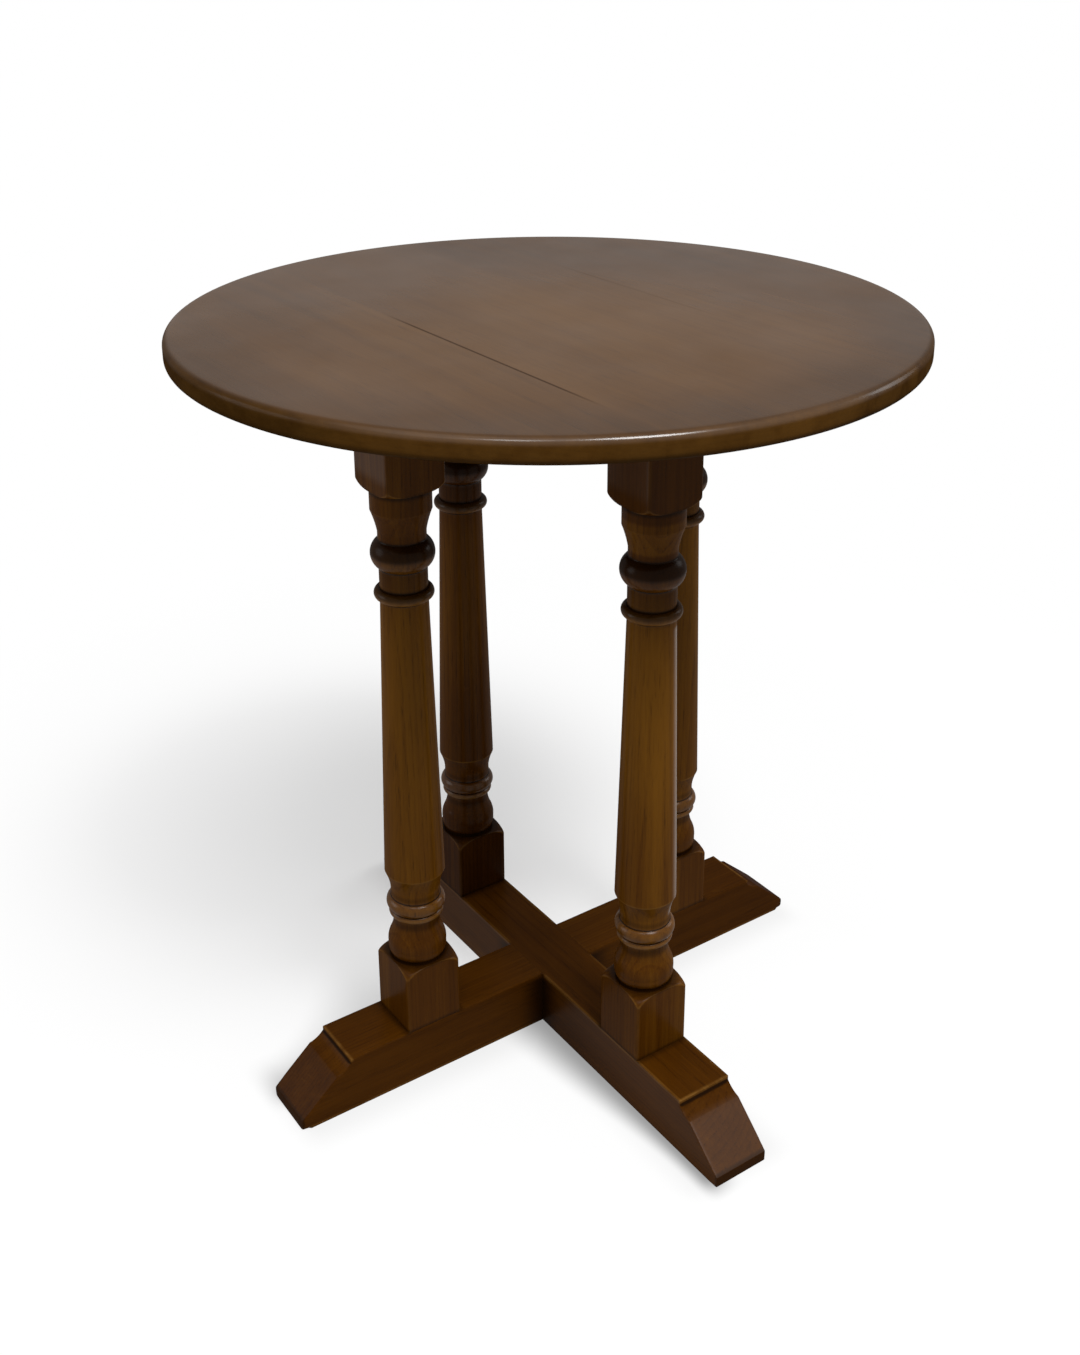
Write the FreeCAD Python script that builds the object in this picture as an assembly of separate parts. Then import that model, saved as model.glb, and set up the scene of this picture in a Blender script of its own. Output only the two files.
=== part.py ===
import FreeCAD, Part
import math
import os

# Round lamp table of stained oak. A boarded top lies on four turned legs, which stand on two
# cross-halved feet and are tied together under the top by two cross-halved rails.
# The floor is z = 0, the table's axis is the Z axis, and the feet run along X and Y.
# All sizes are in millimetres.

# Whole table
table_height = 604.0
top_diameter = 550.0
top_thickness = 18.0
leg_spacing = 256.0  # between the axes of opposite legs
leg_square = 48.0  # side of a leg's square blocks; the feet are as wide
foot_height = 47.0
foot_length = 496.0

# Boarded top
top_edge_upper_radius = 5.5
top_edge_lower_radius = 5.0
middle_board_width = 194.0
dowel_diameter = 8.0
dowel_length = 44.0
dowel_spacing = 150.0
dowels_in_a_joint = 3

# Turned leg: heights of its members, upwards from the foot. The shaft takes what is left.
tenon_length = 30.0
lower_block_height = 43.0
lower_shoulder_height = 13.0
quirk_height = 2.0
bulb_foot_height = 7.0
bulb_body_height = 12.0
bulb_throat_height = 10.0
lower_neck_height = 6.0
lower_bead_height = 5.5
upper_bead_height = 11.5
shaft_fillet_height = 8.0
shaft_cove_height = 15.0
thin_ring_height = 9.0
upper_neck_height = 16.0
torus_height = 22.0
vase_neck_height = 6.0
vase_height = 17.0
cuff_height = 16.0
upper_shoulder_height = 12.0
upper_block_height = 76.0

# Turned leg: radii of its members
tenon_radius = 12.5
quirk_radius = 20.6
bulb_radius = 22.2
bulb_throat_radius = 20.2
lower_neck_radius = 17.5
lower_bead_radius = 20.8
bead_crease_radius = 19.0
upper_bead_radius = 22.5
shaft_fillet_radius = 18.8
shaft_bottom_radius = 23.0
shaft_top_radius = 17.2
thin_ring_radius = 21.6
upper_neck_radius = 17.2
torus_radius = 23.1
vase_middle_radius = 19.1
cuff_radius = 22.0
corner_waste = 1.0  # how far the shoulders' curves start outside the blocks' corners

# Foot ends: a slope down to a short upright nose, with a step and a shallow cove at its head
foot_slope_length = 44.0
foot_nose_height = 9.0
foot_step_height = 3.5
foot_cove_width = 16.0  # along the slope
foot_cove_hollow = 1.3

# Rails under the top
rail_thickness = 22.0
rail_depth = 40.0
rail_tenon_length = 18.0
rail_tenon_thickness = 8.0
rail_tenon_shoulder = 6.0

# Screws that hold the top down on the rails
screw_clearance = 13.0  # from a screw's axis to the ends of the dowels
screw_diameter = 4.5
screw_head_diameter = 9.0
screw_head_height = 3.2
screw_point_length = 5.0
screw_cover = 6.0  # wood left above the screw's point
counterbore_diameter = 11.0
counterbore_depth = 10.0

# Clearances
glue_gap = 0.1  # round tenons and dowels, and beside halvings
blind_gap = 1.0  # at the blind end of a mortise or hole

# Sizes worked out from those above
top_underside = table_height - top_thickness
leg_offset = leg_spacing / 2
foot_width = leg_square
rail_underside = top_underside - rail_depth
rail_length = leg_spacing - leg_square
joint_offset = middle_board_width / 2
screw_offset = joint_offset - dowel_length / 2 - screw_clearance
origin = FreeCAD.Vector(0, 0, 0)
up = FreeCAD.Vector(0, 0, 1)


# A half section that is drawn upwards and then turned about the Z axis
class TurnedSection:
    def __init__(self, radius, height):
        self.at = FreeCAD.Vector(0, 0, height)
        self.edges = []
        self.line(radius, 0)

    def line(self, radius, rise):
        end = FreeCAD.Vector(radius, 0, self.at.z + rise)
        if end.distanceToPoint(self.at) > 0:
            self.edges.append(Part.LineSegment(self.at, end).toShape())
        self.at = end

    def arc(self, middle_radius, middle_rise, radius, rise):
        middle = FreeCAD.Vector(middle_radius, 0, self.at.z + middle_rise)
        end = FreeCAD.Vector(radius, 0, self.at.z + rise)
        self.edges.append(Part.Arc(self.at, middle, end).toShape())
        self.at = end

    # A round member that stands out from its neighbours
    def bead(self, crest_radius, end_radius, height):
        self.arc(crest_radius, height / 2, end_radius, height)

    # A convex quarter round, upright where it is widest
    def ovolo(self, radius, height):
        wide = max(self.at.x, radius)
        narrow = min(self.at.x, radius)
        share = math.sqrt(0.5)
        rise = height * share if radius < self.at.x else height * (1 - share)
        self.arc(narrow + (wide - narrow) * share, rise, radius, height)

    def solid(self):
        bottom = self.edges[0].Vertexes[0].Point
        self.line(0, 0)
        self.edges.append(Part.LineSegment(self.at, bottom).toShape())
        face = Part.Face(Part.Wire(self.edges))
        return face.revolve(origin, up, 360)


def centred_box(length_x, length_y, bottom, top):
    corner = FreeCAD.Vector(-length_x / 2, -length_y / 2, bottom)
    return Part.makeBox(length_x, length_y, top - bottom, corner)


def quarter_turns(shape, turns):
    turned = shape.copy()
    turned.rotate(origin, up, 90 * turns)
    return turned


def place_at(shape, x, y, z):
    placed = shape.copy()
    placed.translate(FreeCAD.Vector(x, y, z))
    return placed


# Top: a disc with a rounded edge, sawn into three boards along Y

def top_disc():
    radius = top_diameter / 2
    section = TurnedSection(radius - top_edge_lower_radius, top_underside)
    section.ovolo(radius, top_edge_lower_radius)
    section.line(radius, top_thickness - top_edge_lower_radius - top_edge_upper_radius)
    section.ovolo(radius - top_edge_upper_radius, top_edge_upper_radius)
    return section.solid()


def dowel_places():
    middle_height = table_height - top_thickness / 2
    first = -dowel_spacing * (dowels_in_a_joint - 1) / 2
    for side in (-1, 1):
        for number in range(dowels_in_a_joint):
            yield FreeCAD.Vector(side * joint_offset, first + number * dowel_spacing, middle_height)


def dowels(radius, length):
    along = FreeCAD.Vector(1, 0, 0)
    half = FreeCAD.Vector(length / 2, 0, 0)
    return [Part.makeCylinder(radius, length, place - half, along) for place in dowel_places()]


def top_boards():
    disc = top_disc()
    holes = dowels(dowel_diameter / 2 + glue_gap, dowel_length + 2 * blind_gap)
    disc = disc.cut(Part.makeCompound(holes + pilot_holes()))
    outer_width = top_diameter / 2 - joint_offset
    places = {
        "top_board_left": (-joint_offset - outer_width / 2, outer_width),
        "top_board_middle": (0, middle_board_width),
        "top_board_right": (joint_offset + outer_width / 2, outer_width),
    }
    boards = {}
    for name, (x, width) in places.items():
        slab = centred_box(width, top_diameter, top_underside, table_height)
        boards[name] = disc.common(place_at(slab, x, 0, 0))
    return boards


# Legs: square stock, turned between the shoulders of its two blocks

def turned_leg():
    block_radius = leg_square * math.sqrt(0.5) + corner_waste
    section = TurnedSection(tenon_radius, foot_height - tenon_length)
    section.line(tenon_radius, tenon_length)
    section.line(block_radius, 0)
    section.line(block_radius, lower_block_height)
    section.ovolo(quirk_radius, lower_shoulder_height)
    section.line(quirk_radius, quirk_height)
    section.ovolo(bulb_radius, bulb_foot_height)
    section.ovolo(bulb_throat_radius, bulb_body_height)
    throat_middle = (2 * lower_neck_radius + bulb_throat_radius) / 3
    section.arc(throat_middle, bulb_throat_height / 2, lower_neck_radius, bulb_throat_height)
    section.line(lower_neck_radius, lower_neck_height)
    section.bead(lower_bead_radius, bead_crease_radius, lower_bead_height)
    section.bead(upper_bead_radius, shaft_fillet_radius, upper_bead_height)
    section.line(shaft_fillet_radius, shaft_fillet_height)
    cove_middle = (2 * shaft_fillet_radius + shaft_bottom_radius) / 3
    section.arc(cove_middle, shaft_cove_height / 2, shaft_bottom_radius, shaft_cove_height)
    above_shaft = thin_ring_height + upper_neck_height + torus_height + vase_neck_height
    above_shaft += vase_height + cuff_height + upper_shoulder_height + upper_block_height
    section.line(shaft_top_radius, top_underside - above_shaft - section.at.z)
    section.bead(thin_ring_radius, upper_neck_radius, thin_ring_height)
    section.line(upper_neck_radius, upper_neck_height)
    section.bead(torus_radius, upper_neck_radius, torus_height)
    section.line(upper_neck_radius, vase_neck_height)
    section.arc(vase_middle_radius, vase_height / 2, cuff_radius, vase_height)
    section.line(cuff_radius, cuff_height)
    section.ovolo(block_radius, upper_shoulder_height)
    section.line(block_radius, upper_block_height)
    stock = centred_box(leg_square, leg_square, foot_height - tenon_length, top_underside)
    return section.solid().common(stock)


def legs():
    leg = place_at(turned_leg(), leg_offset, 0, 0).cut(rail_tenon(glue_gap, blind_gap))
    names = ("leg_right", "leg_back", "leg_left", "leg_front")
    return {name: quarter_turns(leg, turns) for turns, name in enumerate(names)}


# Feet: one side outline for both, halved into each other in the middle

def foot_point(along, height):
    return FreeCAD.Vector(along, -foot_width / 2, height)


def foot_beam():
    half_length = foot_length / 2
    slope_top = foot_point(half_length - foot_slope_length, foot_height)
    nose_top = foot_point(half_length, foot_nose_height)
    cove_top = slope_top - up * foot_step_height
    cove_bottom = slope_top + (nose_top - slope_top).normalize() * foot_cove_width
    across_cove = (cove_bottom - cove_top).normalize()
    into_wood = FreeCAD.Vector(across_cove.z, 0, -across_cove.x)
    cove_middle = (cove_top + cove_bottom) / 2 + into_wood * foot_cove_hollow
    corners = [
        cove_top,
        slope_top,
        foot_point(0, foot_height),
        foot_point(0, 0),
        foot_point(half_length, 0),
        nose_top,
        cove_bottom,
    ]
    edges = [Part.LineSegment(*ends).toShape() for ends in zip(corners, corners[1:])]
    edges.append(Part.Arc(cove_bottom, cove_middle, cove_top).toShape())
    half = Part.Face(Part.Wire(edges)).extrude(FreeCAD.Vector(0, foot_width, 0))
    beam = half.fuse(quarter_turns(half, 2)).removeSplitter()
    mortise_bottom = foot_height - tenon_length - blind_gap
    for side in (-1, 1):
        mouth = FreeCAD.Vector(side * leg_offset, 0, mortise_bottom)
        beam = beam.cut(Part.makeCylinder(tenon_radius + glue_gap, foot_height - mortise_bottom, mouth))
    return beam


def feet():
    beam = foot_beam()
    notch = foot_width + 2 * glue_gap
    middle = foot_height / 2
    upper_half = centred_box(notch, notch, middle, foot_height)
    lower_half = centred_box(notch, notch, 0, middle)
    return {
        "foot_left_right": beam.cut(upper_half),
        "foot_front_back": quarter_turns(beam.cut(lower_half), 1),
    }


# Rails: stub tenons in the leg blocks, halved into each other, counterbored for the screws

def rail_tenon(side_gap, end_gap):
    thickness = rail_tenon_thickness + 2 * side_gap
    bottom = rail_underside + rail_tenon_shoulder - side_gap
    top = top_underside - rail_tenon_shoulder + side_gap
    length = rail_tenon_length + end_gap
    return place_at(centred_box(length, thickness, bottom, top), rail_length / 2 + length / 2, 0, 0)


def screw_places():
    return [FreeCAD.Vector(side * screw_offset, 0, rail_underside) for side in (-1, 1)]


def rail():
    bar = centred_box(rail_length, rail_thickness, rail_underside, top_underside)
    bar = bar.fuse([rail_tenon(0, 0), quarter_turns(rail_tenon(0, 0), 2)]).removeSplitter()
    for place in screw_places():
        bar = bar.cut(Part.makeCylinder(counterbore_diameter / 2, counterbore_depth, place))
        bar = bar.cut(Part.makeCylinder(screw_diameter / 2 + glue_gap, rail_depth, place))
    return bar


def rails():
    bar = rail()
    notch = rail_thickness + 2 * glue_gap
    middle = (rail_underside + top_underside) / 2
    upper_half = centred_box(notch, notch, middle, top_underside)
    lower_half = centred_box(notch, notch, rail_underside, middle)
    return {
        "rail_left_right": bar.cut(upper_half),
        "rail_front_back": quarter_turns(bar.cut(lower_half), 1),
    }


# Screws: a domed head in the counterbore, a plain shank and a point in the top

def screw():
    seat = rail_underside + counterbore_depth
    radius = screw_diameter / 2
    shank = table_height - screw_cover - seat - screw_point_length
    head_radius = screw_head_diameter / 2
    section = TurnedSection(head_radius / 2, seat - screw_head_height)
    section.ovolo(head_radius, screw_head_height)
    section.line(radius, 0)
    section.line(radius, shank)
    section.line(0, screw_point_length)
    return section.solid()


def screws():
    one = screw()
    across = [place_at(one, place.x, 0, 0) for place in screw_places()]
    along = [quarter_turns(shape, 1) for shape in across]
    return Part.makeCompound(across + along)


def pilot_holes():
    depth = top_thickness - screw_cover + blind_gap
    hole = Part.makeCylinder(screw_diameter / 2 + glue_gap, depth, FreeCAD.Vector(0, 0, top_underside))
    across = [place_at(hole, place.x, 0, 0) for place in screw_places()]
    return across + [quarter_turns(shape, 1) for shape in across]


def table():
    nodes = {}
    nodes.update(top_boards())
    nodes["board_dowels"] = Part.makeCompound(dowels(dowel_diameter / 2, dowel_length))
    nodes.update(legs())
    nodes.update(feet())
    nodes.update(rails())
    nodes["top_screws"] = screws()
    return nodes


os.makedirs("parts", exist_ok=True)
for name, shape in table().items():
    shape.exportStep("parts/" + name + ".step")
    print(name, len(shape.Solids), "solids", round(shape.Volume), "cubic mm", shape.isValid())
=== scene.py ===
import bpy
import bmesh
import math
from mathutils import Matrix, Vector, noise


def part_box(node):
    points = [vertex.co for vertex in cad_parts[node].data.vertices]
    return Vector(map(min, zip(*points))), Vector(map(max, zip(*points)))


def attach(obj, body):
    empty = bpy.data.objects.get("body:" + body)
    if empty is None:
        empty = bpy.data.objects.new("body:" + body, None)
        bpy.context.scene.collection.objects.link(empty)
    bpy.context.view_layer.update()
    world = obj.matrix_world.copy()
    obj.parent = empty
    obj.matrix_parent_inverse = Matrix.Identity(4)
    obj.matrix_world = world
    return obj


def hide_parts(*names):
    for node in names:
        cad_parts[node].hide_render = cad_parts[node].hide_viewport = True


# Round oak lamp table: boarded top, four turned legs, crossed feet, crossed rails.
# Sizes in the dictionaries are millimetres, except for the stage. The scene is in metres.

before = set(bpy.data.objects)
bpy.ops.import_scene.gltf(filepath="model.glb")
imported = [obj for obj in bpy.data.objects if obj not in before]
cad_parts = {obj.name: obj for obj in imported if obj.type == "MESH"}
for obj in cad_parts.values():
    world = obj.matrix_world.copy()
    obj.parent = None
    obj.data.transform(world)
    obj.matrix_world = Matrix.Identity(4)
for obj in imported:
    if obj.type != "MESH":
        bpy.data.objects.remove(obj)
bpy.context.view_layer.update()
scene = bpy.context.scene
mm = 0.001
tiny = 1e-6  # metres, to tell levels apart
print("frame loaded,", len(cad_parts), "nodes")


# A socket that does sums: an expression on values adds its Math nodes
class Socket:
    def __init__(self, tree, link=None):
        self.tree = tree
        self.link = link

    # any other node: its type, its settings, the values or links of its sockets, then which output
    def node(self, kind, settings=None, inputs=None, out=0):
        made = self.tree.nodes.new(kind)
        for name, value in (settings or {}).items():
            if name == "stops":
                for extra in range(len(value) - 2):
                    made.color_ramp.elements.new(0.5)
                for element, (position, colour) in zip(made.color_ramp.elements, value):
                    element.position = position
                    element.color = colour if isinstance(colour, tuple) else (colour, colour, colour, 1)
            else:
                setattr(made, name, value)
        for name, value in (inputs or {}).items():
            if isinstance(value, Socket):
                self.tree.links.new(value.link, made.inputs[name])
            else:
                made.inputs[name].default_value = value
        return Socket(self.tree, None if out is None else made.outputs[out])

    # another output of the same node
    def other(self, name):
        return Socket(self.tree, self.link.node.outputs[name])

    def maths(self, operation, first, second=0.0, clamped=False):
        settings = {"operation": operation, "use_clamp": clamped}
        return self.node("ShaderNodeMath", settings, {0: first, 1: second})

    def __add__(self, other):
        return self.maths("ADD", self, other)

    def __sub__(self, other):
        return self.maths("SUBTRACT", self, other)

    def __rsub__(self, other):
        return self.maths("SUBTRACT", other, self)

    def __mul__(self, other):
        return self.maths("MULTIPLY", self, other)

    def __pow__(self, other):
        return self.maths("POWER", self, other)

    def __neg__(self):
        return self.maths("MULTIPLY", self, -1.0)

    def __abs__(self):
        return self.maths("ABSOLUTE", self)

    __radd__ = __add__
    __rmul__ = __mul__

    def clamped(self):
        return self.maths("ADD", self, 0.0, True)

    # 0 below low, 1 above high
    def between(self, low, high):
        settings = {"interpolation_type": "SMOOTHSTEP"}
        return self.node("ShaderNodeMapRange", settings, {"Value": self, "From Min": low, "From Max": high})

    def noise(self, scale, detail, roughness):
        stretched = self.node("ShaderNodeVectorMath", {"operation": "MULTIPLY"}, {0: self, 1: scale})
        inputs = {"Vector": stretched, "Scale": 1.0, "Detail": detail, "Roughness": roughness}
        return self.node("ShaderNodeTexNoise", {}, inputs)

    def parts(self):
        split = self.node("ShaderNodeSeparateXYZ", {}, {"Vector": self})
        return [Socket(self.tree, socket) for socket in split.link.node.outputs]

    # colours: self is the factor
    def mix(self, first, second):
        return self.node("ShaderNodeMix", {"data_type": "RGBA"}, {0: self, 6: first, 7: second}, 2)


def newMaterial(name):
    material = bpy.data.materials.new(name)
    material.use_nodes = True
    material.node_tree.nodes.clear()
    return material, Socket(material.node_tree)


def outputTo(start, shader):
    start.node("ShaderNodeOutputMaterial", {}, {"Surface": shader}, None)


# Metres, from a base in metres and steps in millimetres
def offsets(base, steps):
    return [base + step * mm for step in steps]


def portions(base, shares):
    return [base * share for share in shares]


# Stained and polished oak. Colours are linear.
oakLook = {
    "deep": (0.022, 0.0056, 0.0004, 1),
    "brown": (0.062, 0.0200, 0.0012, 1),
    "amber": (0.140, 0.0550, 0.0040, 1),
    "worn": (0.220, 0.105, 0.022, 1),
    "grime": (0.0075, 0.0028, 0.0007, 1),
    "contrast": 0.34,  # of the grain
    "stain": 0.50,  # how unevenly it took
    "poreShare": 0.40,
    "ringSpacing": 3.4,
    "pith": (90, 60),
    "roughness": 0.45,
    "specular": 0.0,
    "coat": 0.08,
    "coatRoughness": 0.26,
    "wearShare": 0.40,
    "bump": 0.22,
}

# Patterns in the oak: scale across and along the grain, detail, roughness
oakPatterns = {
    "waver": ((7, 7, 1.6), 3.0, 0.5),  # of the growth rings
    "fibre": ((420, 420, 7), 4.0, 0.6),
    "streak": ((95, 95, 2.2), 3.0, 0.55),
    "pore": ((1500, 1500, 48), 1.0, 0.5),
    "fleck": ((75, 190, 70), 2.0, 0.5),  # outwards, round and along
    "patch": ((13, 13, 5), 3.0, 0.55),
    "cloud": ((4.0, 4.0, 2.5), 2.0, 0.5),
    "rub": ((60, 60, 30), 3.0, 0.6),
}

# What the patterns do to the oak
oakShares = {
    "even": 0.5,  # the middle of a noise, and the tone of plain brown
    "ringWaver": 18,
    "ringStops": [(0.0, 1.0), (0.32, 0.25), (0.86, 0.0), (1.0, 1.0)],
    "ringMean": 0.25,
    "poreCut": (0.57, 0.66),
    "latePores": 0.25,
    "fleckCut": (0.64, 0.74),
    "fleckShare": 0.3,
    "fibreTone": 0.9,
    "streakTone": 1.1,
    "ringTone": 0.22,
    "patchTone": 0.9,
    "cloudTone": 0.7,
    "toneStops": (0.08, 0.5, 0.92),
    "patchRoughness": 0.14,
    "poreRoughness": 0.16,
    "rubCut": (0.30, 0.64),
    "leastRub": 0.3,
    "grimeAndShadeShare": 0.88,
    "grimeRoughness": 0.20,
    "rubSmoothness": 0.06,
    "fibreHeight": 0.35,
    "streakHeight": 0.25,
    "bumpDepth": 0.4,
}

# The turn that lays a piece's grain along the pattern's Z axis
grainTurn = {
    "x": (0, math.radians(-90), 0),
    "y": (math.radians(90), 0, 0),
    "z": (0, 0, 0),
}

# Wear values from which a ridge or a hollow shows and at which it is full, and the depth that counts as 1
wearMarks = {"ridge": (0.22, 0.85), "hollow": (0.10, 0.70), "depth": 0.5}


# Rubbed ridges and dirty hollows, from the wear value of each corner
def edgeMarks(start):
    wear = start.node("ShaderNodeAttribute", {"attribute_name": "wear"}, {}, "Fac")
    return wear.between(*wearMarks["ridge"]), (-wear).between(*wearMarks["hollow"])


# wearFrom gives the rubbed ridges, the hollows with grime and painted shade, the coat and how much lighter
# the tone is, painted light and shade among it
def oakFinish(name, grain, shift=(0, 0, 0), wearFrom=None, changes=None):
    look = dict(oakLook)
    look.update(changes or {})
    share = oakShares
    even = share["even"]
    material, start = newMaterial(name)
    place = start.node("ShaderNodeTexCoord", {}, {}, "Object")
    turned = {"Vector": place, "Location": shift, "Rotation": grainTurn[grain]}
    along = start.node("ShaderNodeMapping", {}, turned)
    x, y, z = along.parts()

    # growth rings round a pith that lies outside the piece
    waver = along.noise(*oakPatterns["waver"]) - even
    first = x - look["pith"][0] * mm
    second = y - look["pith"][1] * mm
    reach = (first * first + second * second) ** 0.5 + waver * (share["ringWaver"] * mm)
    ring = start.maths("FRACT", reach * (1 / (look["ringSpacing"] * mm)))
    early = start.node("ShaderNodeValToRGB", {"stops": share["ringStops"]}, {"Fac": ring})

    # long fibres, open pores and the pale flecks of the rays
    fibre = along.noise(*oakPatterns["fibre"])
    streak = along.noise(*oakPatterns["streak"])
    late = share["latePores"]
    pore = along.noise(*oakPatterns["pore"]).between(*share["poreCut"]) * (late + early * (1 - late))
    turn = start.maths("ARCTAN2", second, first)
    rayPlace = start.node("ShaderNodeCombineXYZ", {}, {0: reach, 1: turn, 2: z})
    fleck = rayPlace.noise(*oakPatterns["fleck"]).between(*share["fleckCut"])

    # stain that took unevenly
    patch = along.noise(*oakPatterns["patch"])
    cloud = along.noise(*oakPatterns["cloud"])

    fibreTone = (fibre - even) * share["fibreTone"] + (streak - even) * share["streakTone"]
    grainTone = fibreTone - (early - share["ringMean"]) * share["ringTone"]
    stainTone = (patch - even) * share["patchTone"] + (cloud - even) * share["cloudTone"]
    tone = grainTone * look["contrast"] + stainTone * look["stain"] + even
    coat = look["coat"]
    if wearFrom:
        ridge, hollow, coat, lighter = wearFrom(start, place, look)
        tone = tone + lighter
    oakStops = list(zip(share["toneStops"], (look["deep"], look["brown"], look["amber"])))
    colour = start.node("ShaderNodeValToRGB", {"stops": oakStops}, {"Fac": tone})
    colour = (fleck * (share["fleckShare"] * look["contrast"])).mix(colour, look["amber"])
    colour = (pore * look["poreShare"]).mix(colour, look["grime"])
    roughness = look["roughness"] + (patch - even) * share["patchRoughness"] + pore * share["poreRoughness"]
    if wearFrom:
        least = share["leastRub"]
        rub = along.noise(*oakPatterns["rub"]).between(*share["rubCut"]) * (1 - least) + least
        colour = (ridge * rub * look["wearShare"]).clamped().mix(colour, look["worn"])
        # hollows get grime, and the painted shade that the wear functions add to them
        hollow = hollow.clamped()
        colour = (hollow * share["grimeAndShadeShare"]).mix(colour, look["grime"])
        roughness = roughness + hollow * share["grimeRoughness"] - ridge * share["rubSmoothness"]
    height = fibre * share["fibreHeight"] - pore + streak * share["streakHeight"]
    relief = {"Strength": look["bump"], "Distance": share["bumpDepth"] * mm, "Height": height}
    bump = start.node("ShaderNodeBump", {}, relief)
    shader = start.node(
        "ShaderNodeBsdfPrincipled",
        {},
        {
            "Base Color": colour,
            "Roughness": roughness.clamped(),
            "Specular IOR Level": look["specular"],
            "Coat Weight": coat,
            "Coat Roughness": look["coatRoughness"],
            "Normal": bump,
        },
    )
    outputTo(start, shader)
    return material


# Convex edges get a positive wear value and hollows a negative one
def markWear(bm, passes):
    bm.normal_update()
    layer = bm.verts.layers.float.new("wear")
    kept = [(vert.co.copy(), vert.normal.copy()) for vert in bm.verts]
    smoothOver(bm, bm.verts[:], passes)
    for vert, (place, normal) in zip(bm.verts, kept):
        vert[layer] = (place - vert.co).dot(normal) / (wearMarks["depth"] * mm)
        vert.co = place


def smoothOver(bm, verts, passes):
    for number in range(passes):
        bmesh.ops.smooth_vert(
            bm, verts=verts, factor=0.5, use_axis_x=True, use_axis_y=True, use_axis_z=True
        )


def finishPiece(bm, name, material, node, sharpAngle):
    mesh = bpy.data.meshes.new(name)
    bm.to_mesh(mesh)
    bm.free()
    mesh.shade_smooth()
    mesh.set_sharp_from_angle(angle=math.radians(sharpAngle))
    mesh.materials.append(material)
    piece = bpy.data.objects.new(name, mesh)
    scene.collection.objects.link(piece)
    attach(piece, "root")
    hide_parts(node)


# Boarded top
topBoards = {
    "diameter": 550,
    "underside": 586,
    "thickness": 18,
    "upperRadius": 5.5,
    "upperSteps": 10,
    "lowerRadius": 5,
    "lowerSteps": 7,
    "capInset": 3,
    "middleWidth": 194,
    "rimSteps": 288,
    "sharpAngle": 30,
    "grainShift": {  # metres
        "left": (0.31, 0.02, 0.17),
        "middle": (0.07, 0.05, 0.43),
        "right": (0.07, 0.05, 0.43),
    },
    "finish": {
        "deep": (0.026, 0.0100, 0.0012, 1),
        "brown": (0.066, 0.0265, 0.0034, 1),
        "amber": (0.112, 0.0490, 0.0080, 1),
        "pith": (41, 137),
        "contrast": 0.17,
        "stain": 0.46,
        "poreShare": 0.24,
        "coat": 0.31,
        "coatRoughness": 0.20,
        "wearShare": 0.14,
        "bump": 0.10,
    },
    "marks": {  # of wear, painted light and painted shade: rises are from the underside, reaches are shares of the radius
        "rim": (-5, -1),  # from the edge
        "underShadeRise": (0, 7),  # its rise: painted shade on the underside
        "underShadeShare": 0.15,
        "underShadeEdge": (-8, -4),  # from the edge: more painted shade on the lower rim
        "underShadeEdgeShare": 0.5,
        "seams": [  # place, darkness, middle and half length of the stretch that opened
            (-97, 0.70, -64, 110),
            (97, 0.22, 30, 90),
        ],
        "seamWidth": (0.4, 1.5),
        "seamEnds": (-25, 35),
        "seamDull": 0.8,
        "polishRise": (11.5, 16),
        "leastPolish": 0.03,
        "paintedLightSpot": (-50, -80),  # a painted pool of light round here, left of and before the middle
        "paintedLightReach": (0.30, 1.1),  # round that spot
        "paintedLightFall": 0.25,
        "paintedLightLift": 0.13,
        "mottle": ((9, 9, 9), 3.0, 0.6),
        "mottleShare": 0.66,
        "evenPolish": 0.65,
        "farPolish": 0.10,
        "front": (-0.42, -0.91),  # the way the rim is brightest
        "frontReach": (0.66, 0.94),
        "glintRise": (12.5, 15),
        "glint": 0.45,
        "rimDull": 0.75,
        "rimShadeTone": 0.30,
        "edgeReach": (0.70, 0.93),  # darker towards the front edge
        "edgeFrom": (-0.2, 0.4),
        "edgeTone": 0.18,
    },
}


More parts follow.
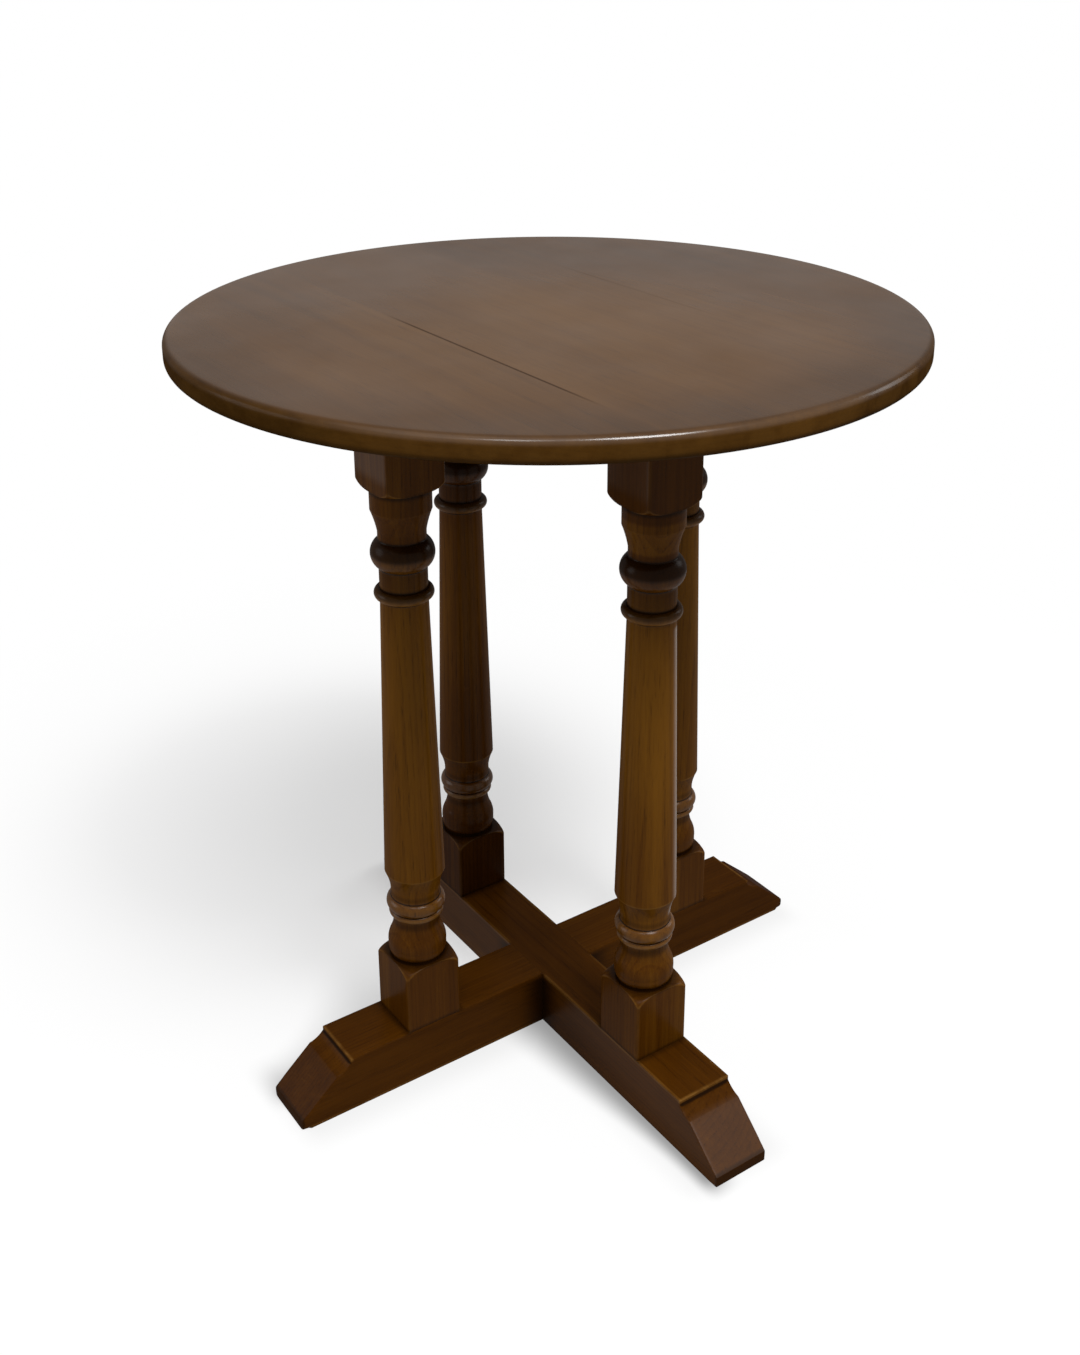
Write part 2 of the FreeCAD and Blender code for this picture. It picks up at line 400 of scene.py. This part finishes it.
# The rim is rubbed, and behind it is duller and painted darker as shade; the top has a painted pool of
# light, the underside painted shade, and one joint has opened a little
def topWear(start, place, look):
    x, y, z = place.parts()
    mark = topBoards["marks"]
    radius = topBoards["diameter"] / 2 * mm
    below = topBoards["underside"] * mm
    reach = (x * x + y * y) ** 0.5
    rim = reach.between(*offsets(radius, mark["rim"]))
    # painted shade on the underside, darker on its lower rim
    edgeUnderShade = reach.between(*offsets(radius, mark["underShadeEdge"])) * mark["underShadeEdgeShare"]
    underShade = (1 - z.between(*offsets(below, mark["underShadeRise"]))) * (mark["underShadeShare"] + edgeUnderShade)
    seams = 0
    for spot, dark, middle, stretch in mark["seams"]:
        line = 1 - abs(x - spot * mm).between(*offsets(0, mark["seamWidth"]))
        ends = abs(y - middle * mm).between(*offsets(stretch * mm, mark["seamEnds"]))
        seams = line * (1 - ends) * dark + seams

    # sheen, mottled and weaker on the seams
    aside = x - mark["paintedLightSpot"][0] * mm
    beside = y - mark["paintedLightSpot"][1] * mm
    away = ((aside * aside + beside * beside) ** 0.5).between(*portions(radius, mark["paintedLightReach"]))
    least = mark["leastPolish"]
    polish = z.between(*offsets(below, mark["polishRise"])) * (look["coat"] - least) + least
    mottled = mark["evenPolish"] + place.noise(*mark["mottle"]) * mark["mottleShare"]
    polish = polish * (mottled + away * mark["farPolish"]) * (1 - seams * mark["seamDull"])

    # the rim shines only in front, and away from the front it is painted darker as shade
    forward = x * mark["front"][0] + y * mark["front"][1]
    ahead = forward.between(*portions(radius, mark["frontReach"]))
    dullShadedRim = rim * (1 - ahead)
    glint = rim * ahead * z.between(*offsets(below, mark["glintRise"])) * mark["glint"]
    polish = polish * (1 - dullShadedRim * mark["rimDull"]) + glint
    edge = reach.between(*portions(radius, mark["edgeReach"]))
    edge = edge * forward.between(*portions(radius, mark["edgeFrom"]))
    # painted pool of light round the light spot, falling off to painted shade towards the edge
    lighter = away * -mark["paintedLightFall"] + mark["paintedLightLift"]
    # painted shade on the rim away from the front, and darker towards the front edge
    lighter = lighter - dullShadedRim * mark["rimShadeTone"] - edge * mark["edgeTone"]
    return rim, underShade + seams, polish, lighter


def edgesAt(bm, test):
    return [edge for edge in bm.edges if all(test(vert.co) for vert in edge.verts)]


def bevelEdges(bm, edges, width, segments):
    bmesh.ops.bevel(
        bm, geom=edges, offset=width * mm, offset_type="OFFSET", segments=segments,
        profile=0.5, affect="EDGES", clamp_overlap=True, material=-1,
    )


def allParts(bm):
    return bm.verts[:] + bm.edges[:] + bm.faces[:]


def cutAway(bm, x, side):
    cut = bmesh.ops.bisect_plane(
        bm, geom=allParts(bm), dist=tiny / 10, plane_co=(x, 0, 0), plane_no=(side, 0, 0), clear_outer=True
    )
    edges = [item for item in cut["geom_cut"] if isinstance(item, bmesh.types.BMEdge)]
    bmesh.ops.edgenet_fill(bm, edges=edges)


# One board of the top: the whole round, cut away beyond low and high
def topBoard(side, low, high, material):
    radius = topBoards["diameter"] / 2 * mm
    bottom = topBoards["underside"] * mm
    top = bottom + topBoards["thickness"] * mm
    bm = bmesh.new()
    bmesh.ops.create_circle(
        bm, cap_ends=True, segments=topBoards["rimSteps"], radius=radius,
        matrix=Matrix.Translation((0, 0, bottom)),
    )
    raised = bmesh.ops.extrude_face_region(bm, geom=bm.faces[:])
    verts = [item for item in raised["geom"] if isinstance(item, bmesh.types.BMVert)]
    bmesh.ops.translate(bm, verts=verts, vec=(0, 0, top - bottom))
    upper = edgesAt(bm, lambda co: co.z > top - tiny)
    bevelEdges(bm, upper, topBoards["upperRadius"], topBoards["upperSteps"])
    lower = edgesAt(bm, lambda co: co.z < bottom + tiny)
    bevelEdges(bm, lower, topBoards["lowerRadius"], topBoards["lowerSteps"])
    caps = [face for face in bm.faces if len(face.verts) > 4]
    bmesh.ops.inset_individual(bm, faces=caps, thickness=topBoards["capInset"] * mm, use_even_offset=True)
    if low is not None:
        cutAway(bm, low * mm, -1)
    if high is not None:
        cutAway(bm, high * mm, 1)
    bmesh.ops.recalc_face_normals(bm, faces=bm.faces[:])
    finishPiece(bm, "board_" + side, material, "top_board_" + side, topBoards["sharpAngle"])


half = topBoards["middleWidth"] / 2
for side, low, high in (("left", None, -half), ("middle", -half, half), ("right", half, None)):
    name = "oakTop" + side.capitalize()
    shift = topBoards["grainShift"][side]
    topBoard(side, low, high, oakFinish(name, "y", shift, topWear, topBoards["finish"]))
print("top boards done")

# Turned legs: members upwards from the tenon. Each is a form, a rise, the radius it ends at and its crest.
tenonRadius = 12.5
blockRadius = 34.95  # past the corners, so the blocks stay square
turnedLeg = {
    "square": 48,
    "arris": 1.8,
    "arrisReach": 1.4,  # times the arris, back from the corner
    "arrisSteps": 6,
    "faceCuts": 36,
    "spacing": 256,
    "tenonBottom": 17,
    "softness": 1.3,  # of the blocks' turned corners
    "rowHeight": 0.85,
    "lineRows": 12,
    "leastArcRows": 6,
    "wearPasses": 10,
    "sharpAngle": 60,
    "members": [
        ("line", 30, tenonRadius),
        ("line", 0, blockRadius),
        ("line", 43, blockRadius),
        ("ovolo", 13, 20.6),
        ("line", 2, 20.6),
        ("ovolo", 7, 22.2),
        ("ovolo", 12, 20.2),
        ("arc", 10, 17.5, 18.4),
        ("line", 6, 17.5),
        ("arc", 5.5, 19.0, 20.8),
        ("arc", 11.5, 18.8, 22.5),
        ("line", 8, 18.8),
        ("arc", 15, 23.0, 20.2),
        ("line", 232, 17.2),
        ("arc", 9, 17.2, 21.6),
        ("line", 16, 17.2),
        ("arc", 22, 17.2, 23.1),
        ("line", 6, 17.2),
        ("arc", 17, 22.0, 19.1),
        ("line", 16, 22.0),
        ("ovolo", 12, blockRadius),
        ("line", 76, blockRadius),
    ],
    "marks": {  # of wear, painted light and painted shade: heights are from the floor
        "wornLitLow": (105, 165),  # the stain is worn thin up the shaft, which is also painted lighter as light
        "wornLitLowTone": 0.17,
        "wornLitHigh": (185, 350),
        "wornLitHighTone": 0.21,
        "wornLitEnd": (380, 470),
        "back": (50, 110),  # where the leg at the back is told from the others
        "paintedBackShade": 0.28,  # it is painted darker as shade
        "front": (-110, -50),
        "vase": (464, 489, 0.26),  # lighter again on the front leg: from, to, how much
        "blur": (-2, 2),  # at the ends of a band
        "caughtAndShaded": [  # dark polish in the creases, and painted shade on the upper sides of the ring and torus and under the shoulders and the top: from, to, share
            (43, 49, 0.7), (102, 106, 0.9), (132, 137, 0.5), (159, 163, 0.4), (416, 423, 0.75),
            (424, 433, 0.35), (433, 438, 0.4), (447, 460, 0.88), (495, 498.5, 0.9), (578, 590, 0.6),
        ],
        "polished": [(139, 158, 0.27), (411, 418, 0.20), (436, 448, 0.20)],  # rubbed bright: from, to, coat
        "blockSheen": (505, 515),  # on the left faces of the upper blocks
        "blockFacing": (0.7, 0.95),
        "blockCoat": 0.14,
        "shaftSheen": (165, 405),  # along the right of the front leg's shaft
        "shaftFacing": (0.30, 0.55),
        "shaftCoat": 0.40,
    },
}


# Points of the round arc from start through middle to end, start left out
def arcPoints(start, middle, end, count):
    toMiddle = middle - start
    toEnd = end - start
    size = 2 * (toMiddle.x * toEnd.y - toMiddle.y * toEnd.x)
    centre = start + Vector((
        (toEnd.y * toMiddle.length_squared - toMiddle.y * toEnd.length_squared) / size,
        (toMiddle.x * toEnd.length_squared - toEnd.x * toMiddle.length_squared) / size,
    ))
    spoke = start - centre
    sweep = (end - centre).angle_signed(spoke)
    if (middle - centre).angle_signed(spoke) * sweep < 0:
        sweep -= math.copysign(2 * math.pi, sweep)
    return [centre + Matrix.Rotation(sweep * step / count, 2) @ spoke for step in range(1, count + 1)]


# Rows along a straight member, close together near its ends
def lineSteps(length):
    row = turnedLeg["rowHeight"]
    if length <= 4 * row:
        return [length / 2, length]
    count = turnedLeg["lineRows"]
    evenly = [length * number / count for number in range(1, count)]
    inner = [step for step in evenly if 3 * row < step < length - 3 * row]
    return [row, 2 * row, *inner, length - 2 * row, length - row, length]


# The leg's half section as points of radius and height
def legSection():
    points = [Vector((tenonRadius, turnedLeg["tenonBottom"]))]
    share = math.sqrt(0.5)
    for form, rise, radius, *crest in turnedLeg["members"]:
        start = points[-1]
        end = Vector((radius, start.y + rise))
        if form == "line":
            length = (end - start).length
            points += [start.lerp(end, step / length) for step in lineSteps(length)]
            continue
        if form == "ovolo":
            narrow, wide = sorted((start.x, radius))
            middleRise = rise * (share if radius < start.x else 1 - share)
            middle = Vector((narrow + (wide - narrow) * share, start.y + middleRise))
        else:
            middle = Vector((crest[0], start.y + rise / 2))
        length = (middle - start).length + (end - middle).length
        count = max(turnedLeg["leastArcRows"], round(length / turnedLeg["rowHeight"]))
        points += arcPoints(start, middle, end, count)
    return points


# A rounded square outline is raised row by row and pulled in to the turned radius
def legMesh():
    bm = bmesh.new()
    section = legSection()
    size = turnedLeg["square"] / 2
    corners = ((-size, -size), (size, -size), (size, size), (-size, size))
    bm.faces.new([bm.verts.new((x, y, 0)) for x, y in corners])
    reach = turnedLeg["arris"] * turnedLeg["arrisReach"]
    bmesh.ops.bevel(
        bm, geom=bm.verts[:], offset=reach, offset_type="OFFSET", segments=turnedLeg["arrisSteps"],
        profile=0.5, affect="VERTICES", clamp_overlap=True, material=-1,
    )
    longEdges = [edge for edge in bm.edges if edge.calc_length() > size]
    bmesh.ops.subdivide_edges(bm, edges=longEdges, cuts=turnedLeg["faceCuts"])
    bmesh.ops.translate(bm, verts=bm.verts[:], vec=(0, 0, section[0].y))
    outline = [vert.co.xy for vert in bm.verts]
    edges = bm.edges[:]
    pullIn(bm.verts[:], outline, section[0].x)
    for point in section[1:]:
        raised = bmesh.ops.extrude_edge_only(bm, edges=edges)["geom"]
        edges = [item for item in raised if isinstance(item, bmesh.types.BMEdge)]
        verts = [item for item in raised if isinstance(item, bmesh.types.BMVert)]
        for vert in verts:
            vert.co.z = point.y
        pullIn(verts, outline, point.x)
    bmesh.ops.edgenet_fill(bm, edges=edges)
    bmesh.ops.scale(bm, verts=bm.verts[:], vec=(mm, mm, mm))
    bmesh.ops.recalc_face_normals(bm, faces=bm.faces[:])
    return bm


def pullIn(verts, outline, radius):
    soft = turnedLeg["softness"]
    for vert, spot in zip(verts, outline):
        reach = spot.length
        gap = reach - radius
        turned = reach - (gap + math.sqrt(gap * gap + soft * soft)) / 2 + soft / 2
        vert.co.xy = spot * (min(turned, reach) / reach)


def addLegs(material):
    bm = legMesh()
    markWear(bm, turnedLeg["wearPasses"])
    mesh = bpy.data.meshes.new("leg")
    bm.to_mesh(mesh)
    bm.free()
    offset = Matrix.Translation((turnedLeg["spacing"] / 2 * mm, 0, 0))
    for turns, side in enumerate(("right", "back", "left", "front")):
        bm = bmesh.new()
        bm.from_mesh(mesh)
        bm.transform(Matrix.Rotation(math.radians(90 * turns), 4, "Z") @ offset)
        finishPiece(bm, "turned_leg_" + side, material, "leg_" + side, turnedLeg["sharpAngle"])
    bpy.data.meshes.remove(mesh)


def heightBand(z, bottom, top):
    blur = turnedLeg["marks"]["blur"]
    return z.between(*offsets(bottom * mm, blur)) * (1 - z.between(*offsets(top * mm, blur)))


# The turned part is lighter than the blocks, partly as painted light, with dark polish and painted shade in
# its creases; the leg at the back is painted darker as shade
def legWear(start, place, look):
    ridge, hollow = edgeMarks(start)
    y, z = place.parts()[1:]
    mark = turnedLeg["marks"]
    onBack = y.between(*offsets(0, mark["back"]))
    onFront = 1 - y.between(*offsets(0, mark["front"]))
    # lighter up the shaft: the stain worn thin, and painted light, fading out under the top
    wornAndLit = z.between(*offsets(0, mark["wornLitLow"])) * mark["wornLitLowTone"]
    wornAndLit = wornAndLit + z.between(*offsets(0, mark["wornLitHigh"])) * mark["wornLitHighTone"]
    # the leg at the back is painted darker as shade
    lighter = wornAndLit * (1 - z.between(*offsets(0, mark["wornLitEnd"]))) - onBack * mark["paintedBackShade"]
    bottom, top, much = mark["vase"]
    lighter = lighter + heightBand(z, bottom, top) * onFront * much
    # dark polish, and painted shade, in bands
    for bottom, top, share in mark["caughtAndShaded"]:
        hollow = hollow + heightBand(z, bottom, top) * share
    coat = look["coat"]
    for bottom, top, share in mark["polished"]:
        coat = coat + heightBand(z, bottom, top) * (share - look["coat"])
    rightwards = place.other("Normal").parts()[0]
    onBlock = z.between(*offsets(0, mark["blockSheen"])) * (-rightwards).between(*mark["blockFacing"])
    onShaft = heightBand(z, *mark["shaftSheen"]) * onFront * rightwards.between(*mark["shaftFacing"])
    coat = coat + onBlock * mark["blockCoat"] + onShaft * mark["shaftCoat"]
    return ridge, hollow, coat, lighter


addLegs(oakFinish("oakLegs", "z", wearFrom=legWear))
print("legs done")

# Feet and rails: copies of their solids with eased arrises, cut into a net that can take wear
footShape = {
    "slot": "oak_feet",
    "arris": 1.5,
    "net": 5,
    "waver": 0.12,  # unevenness of the surfaces
    "noseLength": 7,  # the noses are worn round
    "nosePasses": 5,
    "grainShift": (0.13, 0.21, 0.05),  # metres
    "finish": {"contrast": 0.32, "stain": 0.44, "coat": 0.05, "coatRoughness": 0.34, "wearShare": 0.26},
    "sheens": {
        # coat on the slopes and sides, and painted shade on the left foot's slope
        "foot_left_right": {"slopePolish": 0.06, "sideSheen": 0.0, "darkSlope": 0.16},
        "foot_front_back": {"slopePolish": 0.50, "sideSheen": 0.11, "darkSlope": 0.0},
    },
    "marks": {  # of wear, grime and painted shade
        "step": 204,  # from the middle to the step at the head of the slope
        "height": 47,
        "halfWidth": 24,
        "legPlace": 128,
        "nose": 248,
        "slope": (6, 16),  # past the step
        "slopeFacing": (0.25, 0.6),
        "sideFacing": (0.5, 0.9),
        "stepRub": (-3, -0.5),  # before the step, and gone at stepEnd
        "stepEnd": (-0.2, 0.2),
        "stepTop": (-3, -1),  # from the top
        "stepShare": 2.0,
        "crossing": (0, 5),  # from the side of the other foot, where no edge is rubbed
        "corner": (0, 26),  # painted shade in the corners of the crossing
        "cornerTop": (-6, -1),
        "legGrimeAndShade": (0, 6),  # grime and painted shade round the blocks of the legs
        "legGrimeAndShadeTop": (-2, -0.5),
        "legGrimeAndShadeShare": 0.6,
        "noseGrimeAndShade": (-3, -1),  # end grain: grime, and painted shade by the floor
        "noseGrimeAndShadeShare": 0.65,
        "tone": -0.10,
        "right": (20, 140),  # darker to the right
        "rightTone": 0.10,
    },
}
railShape = {
    "slot": "oak_rails",
    "arris": 0.8,
    "net": 10,
    "waver": 0.0,
    "noseLength": 0,
    "nosePasses": 0,
    "grainShift": (0.37, 0.21, 0.05),
    "finish": {},
    "sheens": {},
}
crossPieces = {
    "foot_left_right": ("x", footShape),
    "foot_front_back": ("y", footShape),
    "rail_left_right": ("x", railShape),
    "rail_front_back": ("y", railShape),
}
crossMaking = {
    "weld": 0.002,
    "flatAngle": 0.5,
    "arrisAngle": 20,
    "arrisSteps": 3,
    "notch": 26,  # no arris is eased this near the crossing
    "longEdge": 0.6,  # of the net, and over this an edge is halved
    "waverScale": 38,
    "waverSeed": 5,  # without it the unevenness differs from run to run
    "sole": 2,  # stays flat up to here
    "wearPasses": 3,
    "sharpAngle": 40,
}


def railWear(start, place, look):
    ridge, hollow = edgeMarks(start)
    return ridge, hollow, look["coat"], 0.0


# Polished slopes, a rubbed edge at each step, painted shade in the crossing's corners, grime and painted
# shade at the legs and the noses, and the left foot's slope painted darker as shade
def footWear(start, place, look):
    ridge, hollow = edgeMarks(start)
    x, y, z = place.parts()
    mark = footShape["marks"]
    aside = abs(x)
    beside = abs(y)
    along = start.maths("MAXIMUM", aside, beside)
    step = mark["step"] * mm
    half = mark["halfWidth"] * mm
    height = mark["height"] * mm
    sideways, upwards = place.other("Normal").parts()[::2]
    slope = along.between(*offsets(step, mark["slope"])) * upwards.between(*mark["slopeFacing"])
    side = abs(sideways).between(*mark["sideFacing"])
    polish = slope * (look["slopePolish"] - look["coat"]) + side * look["sideSheen"] + look["coat"]
    onStep = along.between(*offsets(step, mark["stepRub"])) * z.between(*offsets(height, mark["stepTop"]))
    onStep = onStep * (1 - along.between(*offsets(step, mark["stepEnd"])))
    ridge = ridge * along.between(*offsets(half, mark["crossing"])) + onStep * mark["stepShare"]
    # painted shade in the inner corners of the crossing
    corner = start.maths("MAXIMUM", abs(aside - half), abs(beside - half))
    corner = 1 - corner.between(*offsets(0, mark["corner"]))
    hollow = hollow + corner * (1 - z.between(*offsets(height, mark["cornerTop"])))
    # grime and painted shade round the legs' blocks
    fromLeg = abs(abs(along - mark["legPlace"] * mm) - half)
    legGrimeAndShade = (1 - fromLeg.between(*offsets(0, mark["legGrimeAndShade"]))) * mark["legGrimeAndShadeShare"]
    hollow = hollow + legGrimeAndShade * z.between(*offsets(height, mark["legGrimeAndShadeTop"]))
    # grime and painted shade at the noses
    noseGrimeAndShade = along.between(*offsets(mark["nose"] * mm, mark["noseGrimeAndShade"]))
    hollow = hollow + noseGrimeAndShade * mark["noseGrimeAndShadeShare"]
    rightwards = x.between(*offsets(0, mark["right"]))
    # darker to the right, and the left foot's slope painted darker as shade
    lighter = mark["tone"] - rightwards * mark["rightTone"] - slope * look["darkSlope"]
    return ridge, hollow, polish, lighter


def crossPiece(node, axis, shape, material):
    bm = bmesh.new()
    bm.from_mesh(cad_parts[node].data)
    bmesh.ops.remove_doubles(bm, verts=bm.verts[:], dist=crossMaking["weld"] * mm)
    flat = math.radians(crossMaking["flatAngle"])
    bmesh.ops.dissolve_limit(
        bm, angle_limit=flat, use_dissolve_boundaries=False, verts=bm.verts[:], edges=bm.edges[:]
    )
    low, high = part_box(node)
    notch = crossMaking["notch"] * mm
    sharp = []
    for edge in bm.edges:
        middle = (edge.verts[0].co + edge.verts[1].co) / 2
        inNotch = abs(middle.x) < notch and abs(middle.y) < notch
        if edge.is_manifold and edge.is_convex and not inNotch:
            if edge.calc_face_angle() > math.radians(crossMaking["arrisAngle"]):
                sharp.append(edge)
    bevelEdges(bm, sharp, shape["arris"], crossMaking["arrisSteps"])
    net = shape["net"] * mm
    for way in range(3):
        count = max(2, round((high[way] - low[way]) / net))
        normal = Vector((0, 0, 0))
        normal[way] = 1
        for step in range(1, count):
            spot = low.lerp(high, step / count)
            bmesh.ops.bisect_plane(bm, geom=allParts(bm), dist=tiny / 10, plane_co=spot, plane_no=normal)
    if shape["noseLength"]:
        longEdges = [edge for edge in bm.edges if edge.calc_length() > net * crossMaking["longEdge"]]
        bmesh.ops.subdivide_edges(bm, edges=longEdges, cuts=1, use_grid_fill=True)
        way = "xyz".index(axis)
        nose = [vert for vert in bm.verts if abs(vert.co[way]) > high[way] - shape["noseLength"] * mm]
        smoothOver(bm, nose, shape["nosePasses"])
    for vert in bm.verts:
        if vert.co.z > low.z + crossMaking["sole"] * mm:
            vert.co += noise.noise_vector(vert.co * crossMaking["waverScale"]) * shape["waver"] * mm
    bmesh.ops.recalc_face_normals(bm, faces=bm.faces[:])
    markWear(bm, crossMaking["wearPasses"])
    finishPiece(bm, "oak_" + node, material, node, crossMaking["sharpAngle"])


noise.seed_set(crossMaking["waverSeed"])
for node, (axis, shape) in crossPieces.items():
    wear = footWear if shape is footShape else railWear
    changes = {**shape["finish"], **shape["sheens"].get(node, {})}
    crossPiece(node, axis, shape, oakFinish("oak_" + node, axis, shape["grainShift"], wear, changes))
print("feet and rails done")

# Dowels of bare beech and screws of bare steel keep their solids
bareLook = {
    "deep": (0.26, 0.155, 0.075, 1),
    "brown": (0.40, 0.265, 0.145, 1),
    "amber": (0.50, 0.355, 0.205, 1),
    "coat": 0.0,
    "roughness": 0.6,
}
screwLook = {
    "dark": (0.20, 0.18, 0.155, 1),
    "bright": (0.40, 0.38, 0.35, 1),
    "dulling": ((700, 700, 700), 3.0, 0.6),
    "roughness": (0.35, 0.25),  # least, and more where it is dull
}


def screwFinish():
    material, start = newMaterial("screwSteel")
    place = start.node("ShaderNodeTexCoord", {}, {}, "Object")
    dull = place.noise(*screwLook["dulling"])
    colour = dull.mix(screwLook["dark"], screwLook["bright"])
    least, more = screwLook["roughness"]
    steel = {"Base Color": colour, "Metallic": 1.0, "Roughness": least + dull * more}
    outputTo(start, start.node("ShaderNodeBsdfPrincipled", {}, steel))
    return material


bareWood = oakFinish("bareDowel", "x", changes=bareLook)
for node, material in (("board_dowels", bareWood), ("top_screws", screwFinish())):
    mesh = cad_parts[node].data
    mesh.materials.clear()
    mesh.materials.append(material)
print("dowels and screws done")

# White floor that keeps the shadow and is pure white further away. Metres from the table's middle.
floorLook = {
    "size": 60,
    "seenColour": (0.96, 0.96, 0.96, 1),
    "colour": (0.50, 0.50, 0.50, 1),
    "middle": (0.02, 0.33, 0),  # of the shadow
    "fade": (0.05, 0.45),
    "lift": (0.37, 0.90),  # share of plain white in the shadow and round it
    "whiteFrom": (0.35, 1.0),
    "halfFoot": 0.024,
    "footReach": (0.235, 0.262),
    "frontLee": {"from": 0.0, "widths": (0.046, 0.014), "dark": 0.60},  # left of the front foot
    "leftLee": {"from": 0.10, "widths": (0.15, 0.05), "dark": 0.37},  # behind the left foot
    "leeFade": 0.03,
    "contact": (0.035, 0.10),  # width and darkness beside all feet
}


# 1 for what the camera sees, also in a mirror or through glass
def seenRays(start):
    camera = start.node("ShaderNodeLightPath", {}, {}, "Is Camera Ray")
    return (camera + camera.other("Is Glossy Ray") + camera.other("Is Transmission Ray")).clamped()


# Soft shadow beside a foot, narrower towards its nose
def leeShadow(beside, along, look):
    half = floorLook["halfFoot"]
    nose, end = floorLook["footReach"]
    first, last = look["widths"]
    begin = look["from"]
    width = first + along.between(begin, nose) * (last - first)
    stretch = along.between(begin - floorLook["leeFade"], begin) * (1 - along.between(nose, end))
    return beside.between(0, half) * (1 - (beside - half).between(0, width)) * stretch * look["dark"]


# How much light is left on the floor beside the feet
def floorShade(start, place):
    x, y = place.parts()[:2]
    front = leeShadow(-x, -y, floorLook["frontLee"])
    left = leeShadow(y, -x, floorLook["leftLee"])
    width, dark = floorLook["contact"]
    gap = start.maths("MINIMUM", abs(x), abs(y)) - floorLook["halfFoot"]
    onFoot = 1 - start.maths("MAXIMUM", abs(x), abs(y)).between(*floorLook["footReach"])
    contact = (1 - gap.between(0, width)) * onFoot * dark
    return (1 - front) * (1 - left) * (1 - contact)


def addFloor():
    bm = bmesh.new()
    bmesh.ops.create_grid(bm, x_segments=1, y_segments=1, size=floorLook["size"])
    mesh = bpy.data.meshes.new("floor")
    bm.to_mesh(mesh)
    bm.free()
    material, start = newMaterial("whiteFloor")
    seen = seenRays(start)
    place = start.node("ShaderNodeTexCoord", {}, {}, "Object")
    distance = {"operation": "DISTANCE"}
    reach = start.node("ShaderNodeVectorMath", distance, {0: place, 1: floorLook["middle"]}, "Value")
    away = start.node("ShaderNodeVectorMath", distance, {0: place, 1: (0, 0, 0)}, "Value")
    low, high = floorLook["lift"]
    lift = low + reach.between(*floorLook["fade"]) * (high - low)
    lift = start.maths("MAXIMUM", lift, away.between(*floorLook["whiteFrom"]))
    shade = floorShade(start, place)
    colour = seen.mix(floorLook["colour"], floorLook["seenColour"])
    colour = (seen * (1 - shade)).mix(colour, (0, 0, 0, 1))
    matt = start.node("ShaderNodeBsdfDiffuse", {}, {"Color": colour})
    glow = start.node("ShaderNodeEmission", {}, {"Color": (1, 1, 1, 1), "Strength": shade})
    outputTo(start, start.node("ShaderNodeMixShader", {}, {0: seen * lift, 1: matt, 2: glow}))
    mesh.materials.append(material)
    floor = bpy.data.objects.new("floor", mesh)
    scene.collection.objects.link(floor)


addFloor()

# Soft studio light, in metres: a key lamp in front, a softbox overhead, weaker lamps and a pale room
studio = {
    "room": 0.24,
    "aim": (0, 0, 0.3),
    "lamps": {
        "key": {"place": (0.10, -1.85, 3.4), "size": 1.2, "power": 106},
        "overhead": {"place": (-1.3, -0.2, 3.4), "size": 3.2, "power": 15},
        "strip": {"place": (2.5, -0.45, 1.35), "size": 1.1, "power": 18},
        "glint": {"place": (-1.35, -1.25, 3.3), "size": 0.7, "power": 14},
        "fill": {"place": (-2.3, 1.5, 1.0), "size": 1.6, "power": 24},
    },
}


def addLamp(name, look):
    lamp = bpy.data.lights.new(name, "AREA")
    lamp.shape = "DISK"
    lamp.size = look["size"]
    lamp.energy = look["power"]
    stand = bpy.data.objects.new(name, lamp)
    stand.location = look["place"]
    aim = Vector(studio["aim"]) - stand.location
    stand.rotation_euler = aim.to_track_quat("-Z", "Y").to_euler()
    scene.collection.objects.link(stand)


def addRoom():
    world = bpy.data.worlds.new("paleRoom")
    world.use_nodes = True
    world.node_tree.nodes.clear()
    start = Socket(world.node_tree)
    light = {"Color": (1, 1, 1, 1), "Strength": seenRays(start) * (1 - studio["room"]) + studio["room"]}
    pale = start.node("ShaderNodeBackground", {}, light)
    start.node("ShaderNodeOutputWorld", {}, {"Surface": pale}, None)
    scene.world = world


for name, look in studio["lamps"].items():
    addLamp(name, look)
addRoom()
scene.view_settings.view_transform = "Standard"

# Camera at the photograph's viewpoint: metres, degrees, and millimetres of lens and sensor
cameraLook = {
    "place": (-0.6351, -0.9112, 0.8953),
    "heading": 55.442,
    "pitch": 20.653,
    "roll": -0.264,
    "lens": 41.63,
    "sensor": 36,
    "shiftY": -0.1476,
    "farthest": 200,
}


def addCamera():
    data = bpy.data.cameras.new("camera")
    data.lens = cameraLook["lens"]
    data.sensor_width = cameraLook["sensor"]
    data.sensor_fit = "AUTO"
    data.shift_y = cameraLook["shiftY"]
    data.clip_end = cameraLook["farthest"]
    camera = bpy.data.objects.new("camera", data)
    heading = Matrix.Rotation(math.radians(cameraLook["heading"] - 90), 4, "Z")
    tilt = Matrix.Rotation(math.radians(90 - cameraLook["pitch"]), 4, "X")
    roll = Matrix.Rotation(math.radians(cameraLook["roll"]), 4, "Z")
    camera.matrix_world = Matrix.Translation(cameraLook["place"]) @ heading @ tilt @ roll
    scene.collection.objects.link(camera)
    scene.camera = camera


addCamera()
print("floor, lights and camera done")
